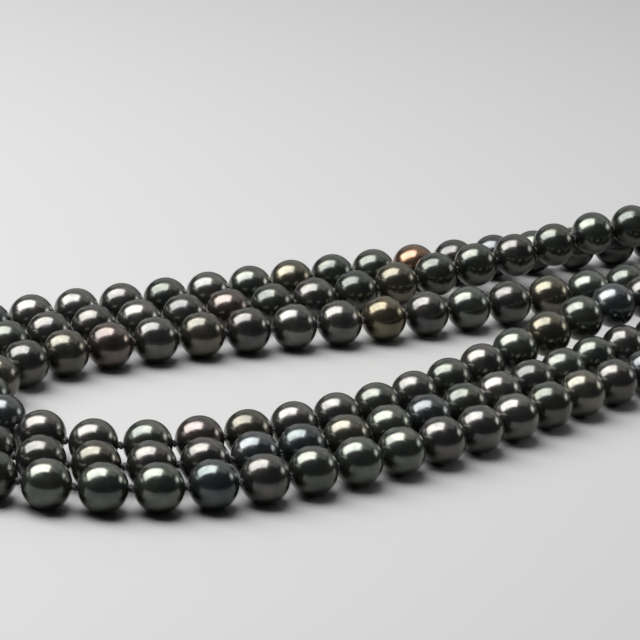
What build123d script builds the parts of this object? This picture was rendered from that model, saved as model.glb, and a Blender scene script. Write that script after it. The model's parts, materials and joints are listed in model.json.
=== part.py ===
"""Three-row necklace of round dark pearls on knotted silk, laid open, with a three-row box clasp.

Millimetres, +Z up, the surface that the necklace lies on is Z = 0. The origin is the middle of
the laid-out necklace. Each row runs from the box half of the clasp (far end), round the bend on
the left, to the tongue half (near end).
"""
from build123d import *
import os

os.makedirs("parts", exist_ok=True)

# ---- pearls and silk ----
PEARL_R = 4.0            # 8 mm round pearls
PITCH = 8.7              # pearl and the knot beside it
HOLE_R = 0.4             # drilled hole
THREAD_R = 0.3           # doubled silk
KNOT_R = 0.62
KNOT_T = 0.46
KNOT_REACH = 0.28        # how far the silk in a pearl runs on into the knot beside it

# ---- loops and rings between the last knot and the clasp, measured along the row ----
LOOP_R = 1.5             # silk loop in its wire sleeve
LOOP_WIRE_R = 0.35
JUMP_R = 1.8             # jump ring
JUMP_WIRE_R = 0.35
JUMP_AT = 2.1            # its centre, past the loop's
EYE_R = 1.4              # eye soldered on the clasp
EYE_WIRE_R = 0.45
EYE_AT = 4.15
CLASP_AT = 5.35          # face of the clasp that the eyes stand on
LOOP_FROM_PEARL = 6.55   # loop's centre, past the last pearl's
ROW_SPACING = 8.7        # rows at the clasp

# ---- box clasp, three rows wide ----
CLASP_W = 26.0           # along the row of eyes
CLASP_H = 6.0
CORNER_R = 1.2
BOX_D = 10.5
WALL = 0.8
FLOOR_T = 0.9
COVER_T = 1.2
COVER_CHAMFER = 0.5
SLOT_W = 12.6            # mouth for the tongue
SLOT_H = 2.6
SLOT_Z = 1.7
NOTCH_W = 3.2            # for the thumb tab, up through the cover
NOTCH_D = 2.6
PLATE_T = 2.0            # tongue half's end plate
PLATE_CHAMFER = 0.3
LEAF_W = 11.6            # fixed leaf of the tongue
LEAF_D = 8.4
LEAF_T = 0.5
LEAF_Z = 2.0
CHEEK_T = 0.5            # holds each end of the fold's pin
CHEEK_GAP = 0.12
FOLD_R = 0.8             # outside of the fold that the spring leaf turns about
FOLD_BORE_R = 0.42
FOLD_PIN_R = 0.34
SPRING_T = 0.4
SPRING_D = 6.6
SPRING_RISE = 8.0        # degrees that the spring leaf stands up
TAB_W = 2.6              # thumb tab
TAB_D = 0.6
TAB_H = 2.2
SAFETY_BACK = 2.2        # safety arm's pivot, from the box's eye side
SAFETY_Z = 3.0
PIN_R = 0.6
PIN_HEAD_T = 0.5
PIN_HEAD_R = 1.0
ARM_T = 0.9
ARM_W = 2.6
ARM_NECK = 1.5
ARM_CLEAR = 0.12         # each side of the arm, and round its pin
STUD_R = 0.8
STUD_CLEAR = 0.15

MIDDLE_X = 29.6          # middle of the layout, taken out of every point
MIDDLE_Y = 13.8
FAR_END = (103.6, 78.8)   # last pearl of the middle row on the box side
NEAR_END = (112.2, 42.8)  # and on the tongue side
HEADING_FAR = 24.0        # degrees: the way that each clasp half leaves the rows
HEADING_NEAR = 16.0

# Each row's route between its last pearls: x, y and how far it rides up on the row beside it.
# The inner row is nearest the middle of the bend. The last pearls themselves stand in line.
ROUTES = {
    "inner": [
        (91.4, 63.2, 0), (76.8, 54.2, 0), (62.6, 44.2, 0), (48.4, 34.6, 0), (33.8, 25.4, 0),
        (18.8, 16.6, 0), (3.6, 8.6, 0), (-12.2, 1.4, 0), (-27.6, -6.4, 0), (-42.2, -15.8, 0),
        (-52.2, -29.6, 0), (-49.6, -45.8, 0), (-34.8, -53, 0), (-18.4, -48.8, 0),
        (-3.4, -39.8, 0), (10, -28.8, 0), (22, -16.4, 0.4), (33.4, -3.4, 1.8), (45.2, 9.4, 4),
        (57.4, 21.6, 4.6), (70.8, 32.6, 2.8), (85.4, 41.8, 0.8)],
    "middle": [
        (87.6, 71.6, 0.6), (71.8, 64, 3.4), (56.2, 55.8, 5.8), (41.2, 46.8, 3.8), (26.4, 37.4, 2),
        (11.8, 27.6, 0.6), (-2.6, 18, 0), (-17.6, 9, 0), (-32.6, 0.4, 0), (-47.2, -9.2, 0),
        (-58.6, -22.2, 0), (-62.6, -38.6, 0), (-55.6, -54, 0), (-40.4, -61.4, 0),
        (-23.2, -59.6, 0), (-7.6, -52.4, 0), (6.6, -42.4, 0), (19.6, -31, 0), (31.4, -18.4, 0),
        (42.6, -5.2, 0), (53.6, 8, 0), (66.2, 19.8, 0), (80.4, 29.8, 0), (95.6, 37.4, 0)],
    "outer": [
        (84.2, 79.2, 0), (69.4, 71.1, 0), (54.8, 61.8, 0), (39.4, 54.2, 0), (24.4, 45.6, 0),
        (9.6, 36.8, 0), (-5.2, 27.6, 0), (-19.6, 18, 0), (-34.2, 8.8, 0), (-49, -0.2, 0),
        (-62, -11.8, 0), (-70.4, -26.8, 0), (-71.4, -44, 0), (-63.6, -59, 0), (-49.2, -68.2, 0),
        (-32, -69.8, 0), (-15.2, -65.6, 0), (0, -57.4, 0), (13.8, -47, 0), (26.8, -35.2, 0),
        (38.6, -22.6, 0), (50.4, -9.6, 0), (62.8, 2.8, 0), (76, 14.2, 0), (90.4, 24.2, 0)],
}

# Pearls on each row, and the knots that the sections hinge at, counted from the far end.
COUNTS = {"inner": 48, "middle": 51, "outer": 54}
HINGES = {
    "inner": {"far_lift": 2, "far_swing": 16, "near_swing": 30, "near_lift": 46},
    "middle": {"far_lift": 2, "far_swing": 16, "near_swing": 33, "near_lift": 49},
    "outer": {"far_lift": 2, "far_swing": 16, "near_swing": 36, "near_lift": 52},
}
ROW_SIDE = {"inner": -1, "middle": 0, "outer": 1}   # to the left of the middle row, far end


def direction(degrees):
    return Vector(1, 0, 0).rotate(Axis.Z, degrees)


def row_path(row):
    """The row's centre line, one pearl radius above what it lies on."""
    far, near = direction(HEADING_FAR), direction(HEADING_NEAR)
    aside = ROW_SIDE[row] * ROW_SPACING
    first = Vector(*FAR_END) + far.rotate(Axis.Z, 90) * aside
    last = Vector(*NEAR_END) - near.rotate(Axis.Z, 90) * aside
    route = [(first.X, first.Y, 0)] + ROUTES[row] + [(last.X, last.Y, 0)]
    points = [(x - MIDDLE_X, y - MIDDLE_Y, rise + PEARL_R) for x, y, rise in route]
    with BuildLine() as line:
        Spline(*points, tangents=(-far, near), tangent_scalars=(1, 1))
    return line.edge()


def pearl_planes(row):
    """A plane at each pearl's centre, its normal along the drilled hole."""
    path = row_path(row)
    step = path.length / (COUNTS[row] - 1)
    planes = []
    for index in range(COUNTS[row]):
        centre = path.position_at(index * step, position_mode=PositionMode.LENGTH)
        along = path.tangent_at(index * step, position_mode=PositionMode.LENGTH)
        planes.append(Plane(origin=centre, z_dir=along))
    return planes


def mouth(plane, side):
    """Where the silk leaves a pearl, on its far (-1) or near (+1) side."""
    return plane.origin + plane.z_dir * (side * PEARL_R)


def knot_plane(planes, index):
    """The knot before pearl number index, its normal along the silk."""
    end_gap = PITCH / 2
    if index == 0:
        return Plane(origin=planes[0].origin - planes[0].z_dir * end_gap, z_dir=planes[0].z_dir)
    if index == len(planes):
        return Plane(origin=planes[-1].origin + planes[-1].z_dir * end_gap, z_dir=planes[-1].z_dir)
    before = mouth(planes[index - 1], 1)
    after = mouth(planes[index], -1)
    return Plane(origin=(before + after) * 0.5, z_dir=after - before)


def finish(part, name):
    part.label = name
    export_step(part, f"parts/{name}.step")


def make_pearls(name, planes):
    with BuildPart() as pearls:
        with Locations(*planes):
            Sphere(PEARL_R)
            Cylinder(HOLE_R, 2 * PEARL_R + 1, mode=Mode.SUBTRACT)
    finish(pearls.part, name)


def make_silk(name, planes, first, last, start, end):
    """The silk through pearls first to last - 1, with a knot between each two.

    start and end say what stands at each end: "knot" is a whole knot, "tail" is the bare silk
    that a neighbouring section hinges on, and "none" leaves that tail to the neighbour.
    """
    beyond = {"knot": KNOT_REACH, "tail": (PITCH - 2 * PEARL_R) / 2, "none": 0}
    kinds = [start] + ["knot"] * (last - first - 1) + [end]
    with BuildPart() as silk:
        for index in range(first, last):
            before = beyond[kinds[index - first]]
            after = beyond[kinds[index - first + 1]]
            with Locations(planes[index].offset((after - before) / 2)):
                Cylinder(THREAD_R, 2 * PEARL_R + before + after)
        for index, kind in enumerate(kinds, start=first):
            if kind == "knot":
                with Locations(knot_plane(planes, index)):
                    Cylinder(KNOT_R, KNOT_T)
    finish(silk.part, name)


def end_plane(planes, side):
    """Local axes at a row's end: X away from the row, Z up, at the centre of its silk loop."""
    degrees = HEADING_FAR if side == "far" else HEADING_NEAR
    last = planes[0] if side == "far" else planes[-1]
    away = direction(degrees)
    return Plane(origin=last.origin + away * LOOP_FROM_PEARL, x_dir=away, z_dir=(0, 0, 1))


def make_loop(name, plane):
    with BuildPart(plane) as loop:
        Torus(LOOP_R, LOOP_WIRE_R, rotation=(90, 0, 0))
    finish(loop.part, name)


def make_jump_rings(name, plane):
    with BuildPart(plane) as rings:
        with Locations(*[(JUMP_AT, k * ROW_SPACING) for k in (-1, 0, 1)]):
            Torus(JUMP_R, JUMP_WIRE_R)
    finish(rings.part, name)


def make_eyes(name, plane):
    """Three rings cut off flat where they are soldered to the clasp."""
    with BuildPart(plane) as eyes:
        with Locations(*[(EYE_AT, k * ROW_SPACING) for k in (-1, 0, 1)]):
            Torus(EYE_R, EYE_WIRE_R, rotation=(90, 0, 0))
        with Locations((CLASP_AT + EYE_R, 0)):
            Box(2 * EYE_R, CLASP_W, CLASP_H, mode=Mode.SUBTRACT)
    finish(eyes.part, name)


def clasp_outline(depth, width, radius):
    """A rounded rectangle whose near side is the face that the eyes stand on."""
    with Locations((CLASP_AT + depth / 2, 0)):
        RectangleRounded(depth, width, radius)


def make_box_shell(base):
    with BuildPart(base) as shell:
        with BuildSketch(base):
            clasp_outline(BOX_D, CLASP_W, CORNER_R)
        extrude(amount=CLASP_H - COVER_T)
        with BuildSketch(base.offset(FLOOR_T)):
            with Locations((CLASP_AT + BOX_D / 2, 0)):
                RectangleRounded(BOX_D - 2 * WALL, CLASP_W - 2 * WALL, CORNER_R / 2)
        extrude(amount=CLASP_H, mode=Mode.SUBTRACT)
        with Locations((CLASP_AT + BOX_D, 0, SLOT_Z)):
            Box(4 * WALL, SLOT_W, SLOT_H, align=(Align.CENTER, Align.CENTER, Align.MIN),
                mode=Mode.SUBTRACT)
            Box(4 * WALL, NOTCH_W, CLASP_H, align=(Align.CENTER, Align.CENTER, Align.MIN),
                mode=Mode.SUBTRACT)
    finish(shell.part, "box_shell")


def make_box_cover(base):
    deck = base.offset(CLASP_H - COVER_T)
    with BuildPart(deck) as cover:
        with BuildSketch(deck):
            clasp_outline(BOX_D, CLASP_W, CORNER_R)
        extrude(amount=COVER_T)
        chamfer(cover.faces().sort_by(Axis.Z)[-1].edges(), COVER_CHAMFER)
        with Locations((CLASP_AT + BOX_D, 0)):
            Box(2 * NOTCH_D, NOTCH_W, 2 * CLASP_H, mode=Mode.SUBTRACT)
    finish(cover.part, "box_cover")


def end_face(base, along, side):
    """Plane on the clasp's left (+1) or right (-1) end, its normal pointing out of it."""
    origin = base.from_local_coords(Vector(along, side * CLASP_W / 2, SAFETY_Z))
    return Plane(origin=origin, x_dir=base.x_dir, z_dir=base.y_dir * side)


def make_safety(base):
    """A small arm on a headed pin, which snaps over the tongue half's stud."""
    wall = end_face(base, CLASP_AT + SAFETY_BACK, 1)
    upright = (Align.CENTER, Align.CENTER, Align.MIN)
    shank = ARM_T + 2 * ARM_CLEAR
    with BuildPart(wall) as pin:
        Cylinder(PIN_R, shank + PIN_HEAD_T / 2, align=upright)
        with Locations((0, 0, shank)):
            Cylinder(PIN_HEAD_R, PIN_HEAD_T, align=upright)
    finish(pin.part, "safety_pin")

    reach = BOX_D - SAFETY_BACK + PLATE_T / 2
    inside = wall.offset(ARM_CLEAR)
    with BuildPart(inside) as arm:
        with BuildSketch(inside):
            with Locations((reach / 2, 0)):
                Rectangle(reach, ARM_NECK)
            with Locations((0, 0), (reach, 0)):
                Circle(ARM_W / 2)
            Circle(PIN_R + ARM_CLEAR, mode=Mode.SUBTRACT)
            with Locations((reach, 0)):
                Circle(STUD_R + STUD_CLEAR, mode=Mode.SUBTRACT)
        extrude(amount=ARM_T)
    finish(arm.part, "safety_arm")


def make_tongue_plate(base):
    with BuildPart(base) as end:
        with BuildSketch(base):
            clasp_outline(PLATE_T, CLASP_W, PLATE_T / 4)
        extrude(amount=CLASP_H)
        chamfer(end.faces().sort_by(Axis.Z)[-1].edges(), PLATE_CHAMFER)
    finish(end.part, "tongue_plate")

    stand = end_face(base, CLASP_AT + PLATE_T / 2, -1)
    with BuildPart(stand) as stud:
        Cylinder(STUD_R, ARM_T + 3 * ARM_CLEAR, align=(Align.CENTER, Align.CENTER, Align.MIN))
        fillet(stud.faces().sort_by(Axis(stand.origin, stand.z_dir))[-1].edges(), STUD_R / 3)
    finish(stud.part, "safety_stud")


def fold_plane(base):
    """Local axes of the spring leaf: on the fold's pin, X back towards the end plate and up."""
    along = CLASP_AT + PLATE_T + LEAF_D - FOLD_R
    height = LEAF_Z + LEAF_T + FOLD_R + CHEEK_GAP
    back = -base.x_dir.rotate(Axis((0, 0, 0), base.y_dir), SPRING_RISE)
    return Plane(origin=base.from_local_coords(Vector(along, 0, height)), x_dir=back,
                 z_dir=back.cross(-base.y_dir))


def make_tongue(base):
    """The fixed leaf with a pin at its tip, and the spring leaf that folds back over it."""
    root = CLASP_AT + PLATE_T
    fold = fold_plane(base)
    up = fold.origin.Z - LEAF_Z
    cheek_at = (LEAF_W - CHEEK_T) / 2
    with BuildPart(base) as leaf:
        with Locations((root + LEAF_D / 2, 0, LEAF_Z)):
            Box(LEAF_D, LEAF_W, LEAF_T, align=(Align.CENTER, Align.CENTER, Align.MIN))
        tip = root + LEAF_D - FOLD_R
        with Locations((tip, cheek_at, LEAF_Z), (tip, -cheek_at, LEAF_Z)):
            Box(2 * FOLD_PIN_R, CHEEK_T, up + FOLD_PIN_R,
                align=(Align.CENTER, Align.CENTER, Align.MIN))
        with Locations((tip, 0, LEAF_Z + up)):
            Cylinder(FOLD_PIN_R, LEAF_W, rotation=(90, 0, 0))
    finish(leaf.part, "tongue_leaf")

    width = LEAF_W - 2 * CHEEK_T - 2 * CHEEK_GAP
    with BuildPart(fold) as spring:
        Cylinder(FOLD_R, width, rotation=(90, 0, 0))
        with Locations((SPRING_D / 2, 0, FOLD_R - SPRING_T / 2)):
            Box(SPRING_D, width, SPRING_T)
        with Locations((SPRING_D - TAB_D / 2, 0, FOLD_R - SPRING_T)):
            Box(TAB_D, TAB_W, TAB_H, align=(Align.CENTER, Align.CENTER, Align.MIN))
        Cylinder(FOLD_BORE_R, width, rotation=(90, 0, 0), mode=Mode.SUBTRACT)
    finish(spring.part, "tongue_spring")


def main():
    planes = {row: pearl_planes(row) for row in ROUTES}
    for row in ROUTES:
        cut = HINGES[row]
        count = COUNTS[row]
        sections = {
            "far_end": (0, cut["far_lift"], "knot", "none"),
            "far_arm": (cut["far_lift"], cut["far_swing"], "tail", "none"),
            "bend": (cut["far_swing"], cut["near_swing"], "tail", "tail"),
            "near_arm": (cut["near_swing"], cut["near_lift"], "none", "tail"),
            "near_end": (cut["near_lift"], count, "none", "knot"),
        }
        for section, (first, last, before, after) in sections.items():
            make_pearls(f"{section}_{row}_pearls", planes[row][first:last])
            make_silk(f"{section}_{row}_silk", planes[row], first, last, before, after)
        for side in ("far", "near"):
            make_loop(f"{side}_end_{row}_loop", end_plane(planes[row], side))
    for side, half in (("far", "box"), ("near", "tongue")):
        ends = end_plane(planes["middle"], side)
        make_jump_rings(f"{side}_jump_rings", ends)
        make_eyes(f"{half}_eyes", ends)
    box_base = end_plane(planes["middle"], "far").offset(-PEARL_R)
    make_box_shell(box_base)
    make_box_cover(box_base)
    make_safety(box_base)
    tongue_base = end_plane(planes["middle"], "near").offset(-PEARL_R)
    make_tongue_plate(tongue_base)
    make_tongue(tongue_base)


if __name__ == "__main__":
    main()
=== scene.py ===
"""Looks of a three-row necklace of round dark pearls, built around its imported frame.

Everything is in metres in the frame's own axes. Sizes are written in millimetres and
multiplied by MM. Places come from the frame's nodes.
"""

import json
import math
import random

import bmesh
import bpy
import numpy as np
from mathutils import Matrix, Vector

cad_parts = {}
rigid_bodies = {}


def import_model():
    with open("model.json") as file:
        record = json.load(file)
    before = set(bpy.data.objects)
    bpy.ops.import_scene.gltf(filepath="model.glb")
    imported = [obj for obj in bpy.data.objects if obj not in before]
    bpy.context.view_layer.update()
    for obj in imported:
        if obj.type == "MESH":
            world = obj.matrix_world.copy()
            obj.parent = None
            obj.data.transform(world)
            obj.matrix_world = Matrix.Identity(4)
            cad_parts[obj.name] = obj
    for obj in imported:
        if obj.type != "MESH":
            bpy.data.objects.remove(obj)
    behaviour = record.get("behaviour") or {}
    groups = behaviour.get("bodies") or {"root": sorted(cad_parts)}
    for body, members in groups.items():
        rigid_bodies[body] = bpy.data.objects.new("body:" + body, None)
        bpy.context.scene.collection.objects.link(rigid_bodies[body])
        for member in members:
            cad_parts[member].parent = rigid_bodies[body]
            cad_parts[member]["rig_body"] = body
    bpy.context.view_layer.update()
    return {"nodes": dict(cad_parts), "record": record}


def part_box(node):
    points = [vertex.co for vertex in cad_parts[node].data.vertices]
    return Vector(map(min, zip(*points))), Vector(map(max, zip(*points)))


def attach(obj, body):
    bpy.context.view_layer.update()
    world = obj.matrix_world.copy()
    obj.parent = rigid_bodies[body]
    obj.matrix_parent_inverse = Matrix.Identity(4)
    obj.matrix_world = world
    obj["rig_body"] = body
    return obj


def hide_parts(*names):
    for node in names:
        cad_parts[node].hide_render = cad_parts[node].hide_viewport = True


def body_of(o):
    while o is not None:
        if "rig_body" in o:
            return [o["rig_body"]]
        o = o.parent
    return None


MM = 0.001
ROWS = ("inner", "middle", "outer")
SECTIONS = ("far_end", "far_arm", "bend", "near_arm", "near_end")

# ---- pearls ----
PEARL_R = 4.0 * MM
HOLE_R = 0.4 * MM
RIM_R = 0.56 * MM          # the hole's mouth is rounded out to here
UNEVEN = 0.035 * MM        # how far a pearl's skin dips below a true sphere
PEARL_ROUND = 56           # facets round the hole
PEARL_RINGS = 44           # from mouth to mouth
HALF_GAP = 0.35 * MM       # from a pearl's mouth to the middle of the knot beside it

# ---- silk ----
THREAD_R = 0.3 * MM
PLIES = 3
PLY_DEPTH = 0.16           # of the thread's radius
TWIST = 1900.0             # radians per metre
KNOT_RING = 0.36 * MM      # an overhand knot pulled down to a small trefoil
KNOT_SWAY = 0.14 * MM
KNOT_RISE = 0.2 * MM
KNOT_STRAND_R = 0.2 * MM
HINGE_KNOT = 0.68          # knots that a section turns at are pulled tighter

# ---- wire loops, rings and clasp ----
LOOP_R = 1.5 * MM
GIMP_R = 0.31 * MM
GIMP_RIDGE = 0.04 * MM
GIMP_TURNS = 52
RING_R = 1.8 * MM
RING_WIRE_R = 0.35 * MM
RING_CUT = 0.12 * MM       # the saw cut that the ring was closed on
BEAD_R = 0.24 * MM         # beading along the clasp's edges
BEAD_STEP = 0.56 * MM
BEAD_RINGS = 8
BEAD_ROUND = 12
NOTCH_DEPTH = 2.9 * MM     # the cover's thumb notch, with a little round it
NOTCH_HALF = 2.1 * MM
PANEL_EDGE = 1.35 * MM     # from the cover's edge to the chased panel
PANEL_RISE = 0.32 * MM
CHASED = 0.07 * MM         # depth of the chasing
SUNK = 0.05 * MM           # how far trim is set into the metal
SOFT_EDGE = 0.09 * MM      # rounding on the edges of the metal parts

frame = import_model()
nodes = frame["nodes"]


# ---------------------------------------------------------------- camera, light and floor

CAMERA_TARGET = Vector((-29.6, -13.8, 7.5)) * MM   # near the middle of the left two thirds
CAMERA_AWAY = 566 * MM
CAMERA_ELEVATION = math.radians(21)
CAMERA_ROLL = math.radians(4.6)
CAMERA_LENS = 184.6
FLOOR_SIZE = 6.0
LIGHTS = {
    "key": dict(place=(-0.27, 0.02, 0.45), size=(0.40, 0.70), power=8.6),
    "overhead": dict(place=(-0.04, 0.16, 0.60), size=(1.2, 0.60), power=1.5),
    "back": dict(place=(0.16, 0.66, 0.42), size=(1.6, 0.50), power=1.5),
    "side": dict(place=(0.62, 0.20, 0.30), size=(0.26, 0.18), power=0.7),
}
FLOOR_COLOUR = (0.29, 0.29, 0.288)


def make_camera():
    data = bpy.data.cameras.new("camera")
    data.lens = CAMERA_LENS
    data.clip_start = 0.01
    camera = bpy.data.objects.new("camera", data)
    bpy.context.scene.collection.objects.link(camera)
    ahead = Vector((0, math.cos(CAMERA_ELEVATION), -math.sin(CAMERA_ELEVATION)))
    level_up = Vector((0, math.sin(CAMERA_ELEVATION), math.cos(CAMERA_ELEVATION)))
    right = Vector((1, 0, 0)) * math.cos(CAMERA_ROLL) + level_up * math.sin(CAMERA_ROLL)
    up = level_up * math.cos(CAMERA_ROLL) - Vector((1, 0, 0)) * math.sin(CAMERA_ROLL)
    matrix = camera.matrix_world
    for row in range(3):
        matrix[row][0], matrix[row][1], matrix[row][2] = right[row], up[row], -ahead[row]
        matrix[row][3] = CAMERA_TARGET[row] - ahead[row] * CAMERA_AWAY
    camera.matrix_world = matrix
    bpy.context.scene.camera = camera


def make_light(name, place, size, power, aim=(0, 0, 0)):
    data = bpy.data.lights.new(name, "AREA")
    data.shape = "RECTANGLE"
    data.size, data.size_y = size
    data.energy = power
    light = bpy.data.objects.new(name, data)
    light.location = place
    light.rotation_euler = (Vector(aim) - Vector(place)).to_track_quat("-Z", "Y").to_euler()
    bpy.context.scene.collection.objects.link(light)


def make_floor():
    mesh = bpy.data.meshes.new("floor")
    half = FLOOR_SIZE / 2
    mesh.from_pydata([(-half, -half, 0), (half, -half, 0), (half, half, 0), (-half, half, 0)],
                     [], [(0, 1, 2, 3)])
    floor = bpy.data.objects.new("floor", mesh)
    bpy.context.scene.collection.objects.link(floor)
    floor.data.materials.append(plain_material("floor", FLOOR_COLOUR, 0.5))


def make_world():
    world = bpy.data.worlds.new("studio")
    world.use_nodes = True
    background = world.node_tree.nodes["Background"]
    background.inputs["Color"].default_value = (0.9, 0.95, 1.0, 1)
    background.inputs["Strength"].default_value = 0.05
    bpy.context.scene.world = world
    bpy.context.scene.view_settings.view_transform = "Standard"


# ---------------------------------------------------------------- materials

class Nodes:
    """A material's node tree, with short calls for what the materials below share."""

    def __init__(self, name):
        self.material = bpy.data.materials.new(name)
        self.material.use_nodes = True
        self.tree = self.material.node_tree
        self.shader = self.tree.nodes["Principled BSDF"]
        self.place = self.add("ShaderNodeTexCoord").outputs["Object"]

    def add(self, kind, **settings):
        node = self.tree.nodes.new(kind)
        for key, value in settings.items():
            setattr(node, key, value)
        return node

    def join(self, output, socket):
        self.tree.links.new(output, socket)

    def stretched(self, scale):
        mapping = self.add("ShaderNodeMapping")
        mapping.inputs["Scale"].default_value = scale
        self.join(self.place, mapping.inputs["Vector"])
        return mapping.outputs["Vector"]

    def noise(self, scale, detail=3.0, rough=0.55, place=None):
        node = self.add("ShaderNodeTexNoise")
        node.inputs["Scale"].default_value = scale
        node.inputs["Detail"].default_value = detail
        node.inputs["Roughness"].default_value = rough
        self.join(place or self.place, node.inputs["Vector"])
        return node.outputs["Fac"]

    def spread(self, value, low, high, start=0.3, end=0.7):
        node = self.add("ShaderNodeMapRange")
        node.inputs["From Min"].default_value = start
        node.inputs["From Max"].default_value = end
        node.inputs["To Min"].default_value = low
        node.inputs["To Max"].default_value = high
        self.join(value, node.inputs["Value"])
        return node.outputs["Result"]

    def blend(self, factor, first, second, mode="MIX"):
        node = self.add("ShaderNodeMix", data_type="RGBA", blend_type=mode)
        for value, socket in ((factor, node.inputs[0]), (first, node.inputs[6]), (second, node.inputs[7])):
            if isinstance(value, bpy.types.NodeSocket):
                self.join(value, socket)
            elif isinstance(value, tuple):
                socket.default_value = (*value, 1)
            else:
                socket.default_value = value
        return node.outputs[2]

    def bump(self, height, distance, strength=1.0, before=None):
        node = self.add("ShaderNodeBump")
        node.inputs["Distance"].default_value = distance
        node.inputs["Strength"].default_value = strength
        self.join(height, node.inputs["Height"])
        if before:
            self.join(before, node.inputs["Normal"])
        return node.outputs["Normal"]

    def set(self, **values):
        for key, value in values.items():
            socket = self.shader.inputs[key.replace("_", " ")]
            if isinstance(value, bpy.types.NodeSocket):
                self.join(value, socket)
            else:
                socket.default_value = (*value, 1) if isinstance(value, tuple) else value


def plain_material(name, colour, roughness):
    material = Nodes(name)
    material.set(Base_Color=colour, Roughness=roughness)
    return material.material


def pearl_material():
    """Dark nacre: each pearl's own overtone, clouded, under a soft clear lustre."""
    nacre = Nodes("pearl_nacre")
    overtone = nacre.add("ShaderNodeAttribute", attribute_name="overtone").outputs["Color"]
    cloud = nacre.spread(nacre.noise(330, 4), 0.0, 1.0, 0.32, 0.70)
    shade = nacre.blend(cloud, (0.62, 0.66, 0.66), (1.25, 1.2, 1.12))
    body = nacre.blend(1.0, overtone, shade, "MULTIPLY")
    mottle = nacre.spread(nacre.noise(1500, 3), 0.0, 0.22, 0.45, 0.75)
    body = nacre.blend(mottle, body, (0.02, 0.018, 0.016))
    rough = nacre.spread(nacre.noise(700, 3), 0.17, 0.27)
    pits = nacre.add("ShaderNodeTexVoronoi", feature="SMOOTH_F1")
    pits.inputs["Scale"].default_value = 420
    nacre.join(nacre.place, pits.inputs["Vector"])
    pit_depth = nacre.spread(pits.outputs["Distance"], 0.0, 1.0, 0.03, 0.14)
    skin = nacre.bump(nacre.noise(900, 4), 0.004 * MM)
    skin = nacre.bump(pit_depth, 0.012 * MM, before=skin)
    nacre.set(Base_Color=body, Metallic=0.90, Roughness=rough, Normal=skin,
              Specular_IOR_Level=0.5, Coat_Weight=0.25, Coat_Roughness=0.12, Coat_IOR=1.5)
    nacre.shader.inputs["Thin Film Thickness"].default_value = 320
    nacre.shader.inputs["Thin Film IOR"].default_value = 1.3
    return nacre.material


def silk_material():
    """Black silk: fine fibres with a soft sheen."""
    silk = Nodes("silk")
    fibres = silk.noise(9000, 2, place=silk.stretched((1.0, 1.0, 0.35)))
    colour = silk.blend(silk.spread(fibres, 0, 1), (0.012, 0.012, 0.014), (0.06, 0.058, 0.06))
    silk.set(Base_Color=colour, Roughness=silk.spread(silk.noise(5000), 0.45, 0.7),
             Normal=silk.bump(fibres, 0.02 * MM), Sheen_Weight=0.35, Sheen_Roughness=0.4)
    return silk.material


def metal_material(name, bright, dull, smooth, worn, streaks):
    """Precious metal with hairline scratches, handling wear and a little tarnish."""
    metal = Nodes(name)
    tarnish = metal.spread(metal.noise(260, 5, 0.65), 0.0, 0.75, 0.52, 0.78)
    colour = metal.blend(tarnish, bright, dull)
    hairs = metal.noise(2600, 3, 0.7, metal.stretched(streaks))
    wear = metal.spread(metal.noise(500, 4), smooth, worn, 0.35, 0.7)
    lines = metal.spread(hairs, 0.0, 1.0, 0.44, 0.62)
    metal.set(Base_Color=colour, Metallic=1.0, Roughness=wear,
              Normal=metal.bump(lines, 0.004 * MM, before=metal.bump(metal.noise(380), 0.02 * MM)))
    return metal.material


# ---------------------------------------------------------------- mesh work

def joined(parts):
    """One (points, faces) out of several."""
    points, faces, start = [], [], 0
    for part_points, part_faces in parts:
        points.append(np.asarray(part_points))
        faces.extend([tuple(start + index for index in face) for face in part_faces])
        start += len(part_points)
    return np.vstack(points), faces


def add_piece(name, shape, material, stands_for=None, rides=None, smooth=True):
    points, faces = shape
    mesh = bpy.data.meshes.new(name)
    mesh.from_pydata([tuple(point) for point in points], [], faces)
    mesh.polygons.foreach_set("use_smooth", [smooth] * len(mesh.polygons))
    mesh.materials.append(material)
    mesh.update()
    piece = bpy.data.objects.new(name, mesh)
    bpy.context.scene.collection.objects.link(piece)
    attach(piece, rides or body_of(nodes[stands_for])[0])
    if stands_for:
        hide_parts(stands_for)
    return piece


def across(axis):
    """Two unit vectors square to an axis and to each other."""
    axis = np.asarray(axis) / np.linalg.norm(axis)
    helper = np.array((0.0, 0.0, 1.0)) if abs(axis[2]) < 0.9 else np.array((1.0, 0.0, 0.0))
    side = np.cross(helper, axis)
    side /= np.linalg.norm(side)
    return axis, side, np.cross(axis, side)


def ring_faces(rings, around, closed):
    """Quads between rings of points, and the two ends' caps if it isn't closed."""
    faces = []
    for ring in range(rings if closed else rings - 1):
        after = (ring + 1) % rings
        for k in range(around):
            right = (k + 1) % around
            faces.append((ring * around + k, ring * around + right, after * around + right, after * around + k))
    if not closed:
        faces.append(tuple(reversed(range(around))))
        faces.append(tuple(range((rings - 1) * around, rings * around)))
    return faces


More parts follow.
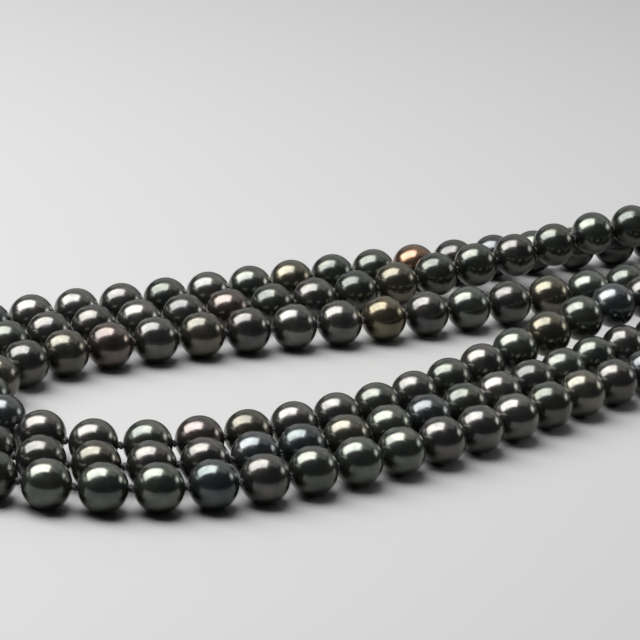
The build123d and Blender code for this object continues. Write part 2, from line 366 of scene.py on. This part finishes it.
def tube(path, radius, around=10, closed=False, twist=0.0, plies=0, depth=0.0):
    """A tube along points; radius is a number or one for each point. Plies are twisted lobes."""
    path = np.asarray(path)
    count = len(path)
    radii = np.broadcast_to(radius, count)
    if closed:
        tangents = np.roll(path, -1, 0) - np.roll(path, 1, 0)
    else:
        tangents = np.gradient(path, axis=0)
    tangents /= np.linalg.norm(tangents, axis=1)[:, None]
    side = across(tangents[0])[1]
    run = np.concatenate([[0], np.cumsum(np.linalg.norm(np.diff(path, axis=0), axis=1))])
    turn = np.linspace(0, 2 * np.pi, around, endpoint=False)
    points = []
    for k in range(count):
        side = side - tangents[k] * side.dot(tangents[k])
        side /= np.linalg.norm(side)
        up = np.cross(tangents[k], side)
        angle = turn + twist * run[k]
        reach = radii[k] * (1 - depth + depth * np.abs(np.cos(plies * turn / 2))) if plies else radii[k]
        points.append(path[k] + np.outer(reach * np.cos(angle), side) + np.outer(reach * np.sin(angle), up))
    return np.vstack(points), ring_faces(count, around, closed)


def turned(profile, centre, axis, around):
    """A closed profile of (along, out) turned about an axis, as one ring-shaped skin."""
    axis, side, up = across(axis)
    turn = np.linspace(0, 2 * np.pi, around, endpoint=False)
    spokes = np.outer(np.cos(turn), side) + np.outer(np.sin(turn), up)
    points = [np.asarray(centre) + along * axis + out * spokes for along, out in profile]
    return np.vstack(points), ring_faces(len(profile), around, True)


# ---------------------------------------------------------------- where things are

def solids_of(node):
    """The points of each separate solid of a node."""
    mesh = bmesh.new()
    mesh.from_mesh(nodes[node].data)
    bmesh.ops.remove_doubles(mesh, verts=mesh.verts, dist=0.001 * MM)
    left = set(mesh.verts)
    found = []
    while left:
        reached = [left.pop()]
        for vert in reached:
            for edge in vert.link_edges:
                other = edge.other_vert(vert)
                if other in left:
                    left.remove(other)
                    reached.append(other)
        found.append(np.array([vert.co[:] for vert in reached]))
    mesh.free()
    return found


def ball_centre(points):
    """The centre of the ball that the points lie on."""
    sides = np.hstack([2 * points, np.ones((len(points), 1))])
    return np.linalg.lstsq(sides, (points ** 2).sum(axis=1), rcond=None)[0][:3]


def middle_of(node):
    low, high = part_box(node)
    return np.array((low + high) / 2)


def read_row(row):
    """A row's pearls in order from the far end: (section, centre), and each one's direction."""
    place = middle_of(f"far_end_{row}_loop")
    start = place
    pearls = []
    for section in SECTIONS:
        left = [ball_centre(points) for points in solids_of(f"{section}_{row}_pearls")]
        while left:
            nearest = min(range(len(left)), key=lambda k: np.linalg.norm(left[k] - place))
            place = left.pop(nearest)
            pearls.append((section, place))
    centres = [start] + [centre for _, centre in pearls] + [middle_of(f"near_end_{row}_loop")]
    steps = np.diff(np.array(centres), axis=0)
    steps /= np.linalg.norm(steps, axis=1)[:, None]
    ways = steps[:-1] + steps[1:]
    ways /= np.linalg.norm(ways, axis=1)[:, None]
    return pearls, ways


# ---------------------------------------------------------------- pearls

# Overtones of dark pearls, and how many in a hundred have each.
OVERTONES = (
    ((0.086, 0.096, 0.086), 30),   # green charcoal
    ((0.093, 0.094, 0.092), 36),   # steel
    ((0.098, 0.097, 0.082), 18),   # pistachio
    ((0.082, 0.092, 0.098), 9),    # blue
    ((0.097, 0.087, 0.086), 7),    # aubergine
)
COPPER = (0.17, 0.105, 0.070)
GOLD = (0.118, 0.103, 0.070)
OLIVE = (0.096, 0.093, 0.072)
ROSE = (0.097, 0.083, 0.080)
SEA = (0.072, 0.088, 0.090)
# The single odd pearls, by row and place from the far end.
SPECIAL = {
    ("outer", 11): COPPER, ("inner", 13): GOLD, ("inner", 9): OLIVE, ("middle", 12): OLIVE,
    ("outer", 14): OLIVE, ("middle", 16): ROSE, ("inner", 19): ROSE, ("inner", 37): OLIVE,
    ("middle", 33): SEA, ("outer", 34): SEA,
}


def pearl_profile():
    """Skin from mouth to mouth, and back through the drilled hole."""
    edge = math.asin(RIM_R / PEARL_R)
    skin = [(PEARL_R * math.cos(a), PEARL_R * math.sin(a)) for a in np.linspace(edge, math.pi - edge, PEARL_RINGS)]
    mouth = PEARL_R * math.cos(edge)
    inside = [(mouth - 0.03 * MM, HOLE_R + 0.06 * MM), (mouth - 0.12 * MM, HOLE_R)]
    back = [(-along, out) for along, out in inside]
    return skin + back + [(0.0, HOLE_R)] + inside[::-1]


def uneven(points, centre, rng):
    """Dips a pearl's skin by a few slow waves of its own."""
    ways = (points - centre) / PEARL_R
    height = np.zeros(len(points))
    for waves in (1.6, 2.3, 3.4, 5.2):
        pull = np.array([rng.gauss(0, 1) for _ in range(3)])
        pull *= waves / np.linalg.norm(pull)
        height += np.sin(ways @ pull * 2 + rng.uniform(0, 2 * math.pi)) / waves
    dip = UNEVEN * (height - 1.4) / 2.8
    return points + ways * np.minimum(dip, 0)[:, None]


def make_pearls(row, section, pearls, ways, material, tones):
    rng = random.Random(f"{row} {section}")
    profile = pearl_profile()
    shapes, colours = [], []
    for index, (where, centre) in enumerate(pearls):
        if where != section:
            continue
        points, faces = turned(profile, centre, ways[index], PEARL_ROUND)
        shapes.append((uneven(points, centre, rng), faces))
        colours.append(np.tile(np.append(tones[index], 1.0), (len(points), 1)))
    piece = add_piece(f"{section}_{row}_nacre", joined(shapes), material, f"{section}_{row}_pearls")
    tint = piece.data.attributes.new("overtone", "FLOAT_COLOR", "POINT")
    tint.data.foreach_set("color", np.vstack(colours).ravel())


def row_tones(row, count):
    rng = random.Random(f"tones {row}")
    choices = [tone for tone, _ in OVERTONES]
    weights = [share for _, share in OVERTONES]
    tones = []
    for index in range(count):
        tone = np.array(rng.choices(choices, weights)[0])
        tone = tone * rng.uniform(0.8, 1.2)
        tones.append(np.array(SPECIAL.get((row, index), tone)))
    return tones


# ---------------------------------------------------------------- silk

def knot(centre, axis, turn, size):
    """An overhand knot pulled tight: a trefoil of strand between two pearls."""
    axis, side, up = across(axis)
    t = np.linspace(0, 2 * np.pi, 42, endpoint=False)
    out = size * (KNOT_RING + KNOT_SWAY * np.cos(3 * t))
    spoke = np.outer(np.cos(2 * t + turn), side) + np.outer(np.sin(2 * t + turn), up)
    path = centre + out[:, None] * spoke + np.outer(size * KNOT_RISE * np.sin(3 * t), axis)
    return tube(path, size * KNOT_STRAND_R, 8, closed=True)


def thread(start, end):
    steps = max(4, int(np.linalg.norm(end - start) / (0.42 * MM)))
    path = start + np.outer(np.linspace(0, 1, steps + 1), end - start)
    return tube(path, THREAD_R, 12, twist=TWIST, plies=PLIES, depth=PLY_DEPTH)


def make_silk(row, section, pearls, ways, material):
    """A section's thread, with its knots. The bend and the arms hold the knots they turn at."""
    rng = random.Random(f"silk {row} {section}")
    gaps = []
    count = len(pearls)
    for k in range(count + 1):
        if k == 0:
            gaps.append(pearls[0][1] - ways[0] * (PEARL_R + HALF_GAP))
        elif k == count:
            gaps.append(pearls[-1][1] + ways[-1] * (PEARL_R + HALF_GAP))
        else:
            before = pearls[k - 1][1] + ways[k - 1] * PEARL_R
            after = pearls[k][1] - ways[k] * PEARL_R
            gaps.append((before + after) / 2)
    mine = [k for k, (where, _) in enumerate(pearls) if where == section]
    own_first = section != "near_end" and section != "near_arm"
    own_last = section != "far_end" and section != "far_arm"
    shapes = []
    for k in mine:
        mouth = ways[k] * PEARL_R
        centre = pearls[k][1]
        shapes.append(thread(centre - mouth, centre + mouth))
        shapes.append(thread(centre + mouth, gaps[k + 1]))
        shapes.append(thread(gaps[k], centre - mouth))
    knots = list(range(mine[0] if own_first else mine[0] + 1, mine[-1] + 2 if own_last else mine[-1] + 1))
    for k in knots:
        way = ways[min(k, count - 1)] + ways[max(k - 1, 0)]
        hinge = k not in (0, count) and k in (mine[0], mine[-1] + 1)
        shapes.append(knot(gaps[k], way, rng.uniform(0, 2 * math.pi), HINGE_KNOT if hinge else 1.0))
    piece = add_piece(f"{section}_{row}_thread", joined(shapes), material, f"{section}_{row}_silk")


# ---------------------------------------------------------------- loops, rings and clasp trim

def soften(node):
    """Rounds a metal part's sharp edges a little, as polishing does."""
    weld = node.modifiers.new("weld", "WELD")
    weld.merge_threshold = 0.002 * MM
    bevel = node.modifiers.new("soft_edges", "BEVEL")
    bevel.width = SOFT_EDGE
    bevel.segments = 2
    bevel.limit_method = "ANGLE"
    bevel.angle_limit = math.radians(38)
    bevel.harden_normals = True
    bevel.use_clamp_overlap = True


def end_axes(side):
    """Where the clasp half lies: the middle loop's centre and the way out of the row."""
    loop = middle_of(f"{side}_end_middle_loop")
    rings = middle_of(f"{side}_jump_rings")
    away = rings - loop
    away[2] = 0
    return loop, away / np.linalg.norm(away)


def make_loop(row, side, material):
    """The silk's end loop in its sleeve of fine coiled wire, drawn in towards the last knot."""
    centre = middle_of(f"{side}_end_{row}_loop")
    away = end_axes(side)[1]
    turn = np.linspace(0, 2 * np.pi, 260, endpoint=False)
    pinch = 0.5 - 0.5 * np.cos(turn)
    height = LOOP_R * np.sin(turn) * (1 - 0.42 * pinch ** 2)
    path = centre + np.outer(LOOP_R * np.cos(turn), away) + np.outer(height, (0, 0, 1))
    radius = GIMP_R + GIMP_RIDGE * np.cos(turn * GIMP_TURNS)
    piece = add_piece(f"{side}_end_{row}_gimp", tube(path, radius, 14, closed=True), material,
                      f"{side}_end_{row}_loop")


def make_rings(side, material):
    """Three jump rings, each closed on its saw cut, with the wire's ends just showing."""
    away = end_axes(side)[1]
    shapes = []
    for points in solids_of(f"{side}_jump_rings"):
        centre = (points.max(axis=0) + points.min(axis=0)) / 2
        across_way = np.cross((0, 0, 1), away)
        gap = RING_CUT / RING_R / 2
        turn = np.linspace(math.pi / 2 + gap, math.pi / 2 + 2 * math.pi - gap, 72)
        path = centre + np.outer(RING_R * np.cos(turn), away) + np.outer(RING_R * np.sin(turn), across_way)
        radius = np.full(72, RING_WIRE_R)
        radius[0] = radius[-1] = RING_WIRE_R * 0.86
        shapes.append(tube(path, radius, 20))
    piece = add_piece(f"{side}_jump_rings_cut", joined(shapes), material, f"{side}_jump_rings")


def bead(centre):
    """One raised grain of the beading."""
    fall = np.linspace(0.02, math.pi - 0.02, BEAD_RINGS)
    turn = np.linspace(0, 2 * np.pi, BEAD_ROUND, endpoint=False)
    spokes = np.column_stack([np.cos(turn), np.sin(turn), np.zeros(BEAD_ROUND)])
    points = [centre + BEAD_R * (math.cos(a) * np.array((0, 0, 1)) + math.sin(a) * spokes) for a in fall]
    return np.vstack(points), ring_faces(BEAD_RINGS, BEAD_ROUND, False)


class Clasp:
    """Axes of one clasp half: out along the row, across it, and up, from the face with the eyes."""

    def __init__(self, side, node):
        loop, self.out = end_axes(side)
        self.aside = np.cross((0, 0, 1), self.out)
        points = np.array([vert.co[:] for vert in nodes[node].data.vertices])
        reach = (points - loop) @ self.out
        width = (points - loop) @ self.aside
        self.face = loop + self.out * reach.min()
        self.face[2] = 0
        self.depth = reach.max() - reach.min()
        self.half_width = width.max()
        self.top = points[:, 2].max()

    def at(self, out, aside, up):
        return self.face + out * self.out + aside * self.aside + np.array((0, 0, up))


def beading(corners):
    """Grains along straight runs between corners, one at each corner."""
    shapes = []
    for start, end in zip(corners[:-1], corners[1:]):
        count = max(1, round(np.linalg.norm(end - start) / BEAD_STEP))
        shapes.extend(bead(start + (end - start) * k / count) for k in range(count))
    shapes.append(bead(corners[-1]))
    return joined(shapes)


def chased_panel(clasp):
    """A low domed panel on the box's cover, chased with a fan of leaves inside a plain border."""
    out_mid = PANEL_EDGE + (clasp.depth - NOTCH_DEPTH - PANEL_EDGE) / 2
    half_out = out_mid - PANEL_EDGE
    half_aside = clasp.half_width - 1.6 * PANEL_EDGE
    grid_out, grid_aside = 46, 170
    rise = np.zeros((grid_out, grid_aside))
    places = np.zeros((grid_out, grid_aside, 2))
    for j, v in enumerate(np.linspace(-1, 1, grid_out)):
        for k, u in enumerate(np.linspace(-1, 1, grid_aside)):
            to_edge = min((1 - abs(v)) * half_out, (1 - abs(u)) * half_aside)
            dome = PANEL_RISE * (1 - 0.5 * v * v) * (1 - 0.25 * u * u)
            edge = min(1.0, to_edge / (0.35 * MM))
            x, y = u * half_aside / half_out, v
            leaf = math.cos(9 * math.atan2(y, (x + 0.5) % 1.9 - 0.95)) * math.exp(-0.6 * (x * x * 0.02 + y * y))
            veins = 0.35 * math.cos(26 * math.hypot((x + 0.5) % 1.9 - 0.95, y))
            inside = min(1.0, max(0.0, (to_edge - 0.55 * MM) / (0.3 * MM)))
            rise[j, k] = dome * math.sin(edge * math.pi / 2) + inside * CHASED * (leaf + veins)
            places[j, k] = (out_mid + v * half_out, u * half_aside)
    top = [clasp.at(places[j, k, 0], places[j, k, 1], clasp.top - SUNK + max(rise[j, k], 0) + SUNK * 1.5)
           for j in range(grid_out) for k in range(grid_aside)]
    low = [clasp.at(places[j, k, 0], places[j, k, 1], clasp.top - SUNK)
           for j in range(grid_out) for k in range(grid_aside)]
    faces = []
    size = grid_out * grid_aside
    for j in range(grid_out - 1):
        for k in range(grid_aside - 1):
            a = j * grid_aside + k
            b = a + grid_aside
            faces.append((a, b, b + 1, a + 1))
            faces.append((size + a, size + a + 1, size + b + 1, size + b))
    rim = [k for k in range(grid_aside)]
    rim += [j * grid_aside + grid_aside - 1 for j in range(1, grid_out)]
    rim += [(grid_out - 1) * grid_aside + k for k in range(grid_aside - 2, -1, -1)]
    rim += [j * grid_aside for j in range(grid_out - 2, 0, -1)]
    for a, b in zip(rim, rim[1:] + rim[:1]):
        faces.append((a, b, size + b, size + a))
    return np.array(top + low), faces


def dress_clasp(metal):
    """Beaded edges on the box, a beaded row across the middle of the tongue, and the chased panel on the box."""
    box = Clasp("far", "box_cover")
    border = BEAD_R * 0.9 + 0.55 * MM
    notch = box.depth - border
    sides = box.half_width - border
    up = box.top
    ring = [box.at(notch, NOTCH_HALF, up), box.at(notch, sides, up), box.at(border, sides, up),
            box.at(border, -sides, up), box.at(notch, -sides, up), box.at(notch, -NOTCH_HALF, up)]
    pieces = [add_piece("box_cover_beading", beading(ring), metal, rides="box_half"),
              add_piece("box_cover_panel", chased_panel(box), metal, rides="box_half")]
    tongue = Clasp("near", "tongue_plate")
    middle = tongue.depth / 2
    sides = tongue.half_width - border
    run = [tongue.at(middle, -sides, tongue.top), tongue.at(middle, sides, tongue.top)]
    pieces.append(add_piece("tongue_plate_beading", beading(run), metal, rides="tongue_half"))


# ---------------------------------------------------------------- the whole

def main():
    make_camera()
    make_floor()
    make_world()
    for name, facts in LIGHTS.items():
        make_light(name, **facts)

    nacre = pearl_material()
    silk = silk_material()
    polished = metal_material("silver_polished", (0.83, 0.82, 0.80), (0.55, 0.50, 0.44), 0.10, 0.24, (1, 6, 1))
    wire = metal_material("silver_wire", (0.85, 0.84, 0.82), (0.52, 0.48, 0.42), 0.14, 0.30, (3, 3, 3))
    spring = metal_material("spring_silver", (0.72, 0.71, 0.69), (0.48, 0.45, 0.41), 0.24, 0.38, (14, 1, 1))
    slots = {record["slot"] for record in frame["record"]["materials"]}
    looks = {"ring_wire": wire, "sleeve_wire": wire, "clasp_metal": polished, "spring_metal": spring}
    assert slots == set(looks) | {"pearl", "silk"}

    for row in ROWS:
        pearls, ways = read_row(row)
        tones = row_tones(row, len(pearls))
        for section in SECTIONS:
            make_pearls(row, section, pearls, ways, nacre, tones)
            make_silk(row, section, pearls, ways, silk)
        for side in ("far", "near"):
            make_loop(row, side, wire)
    for side in ("far", "near"):
        make_rings(side, wire)

    for part in frame["record"]["subparts"]:
        node = nodes[part["node"]]
        if not node.hide_render:
            node.data.materials.clear()
            node.data.materials.append(looks[part["material_slot"]])
            soften(node)
    dress_clasp(polished)


main()
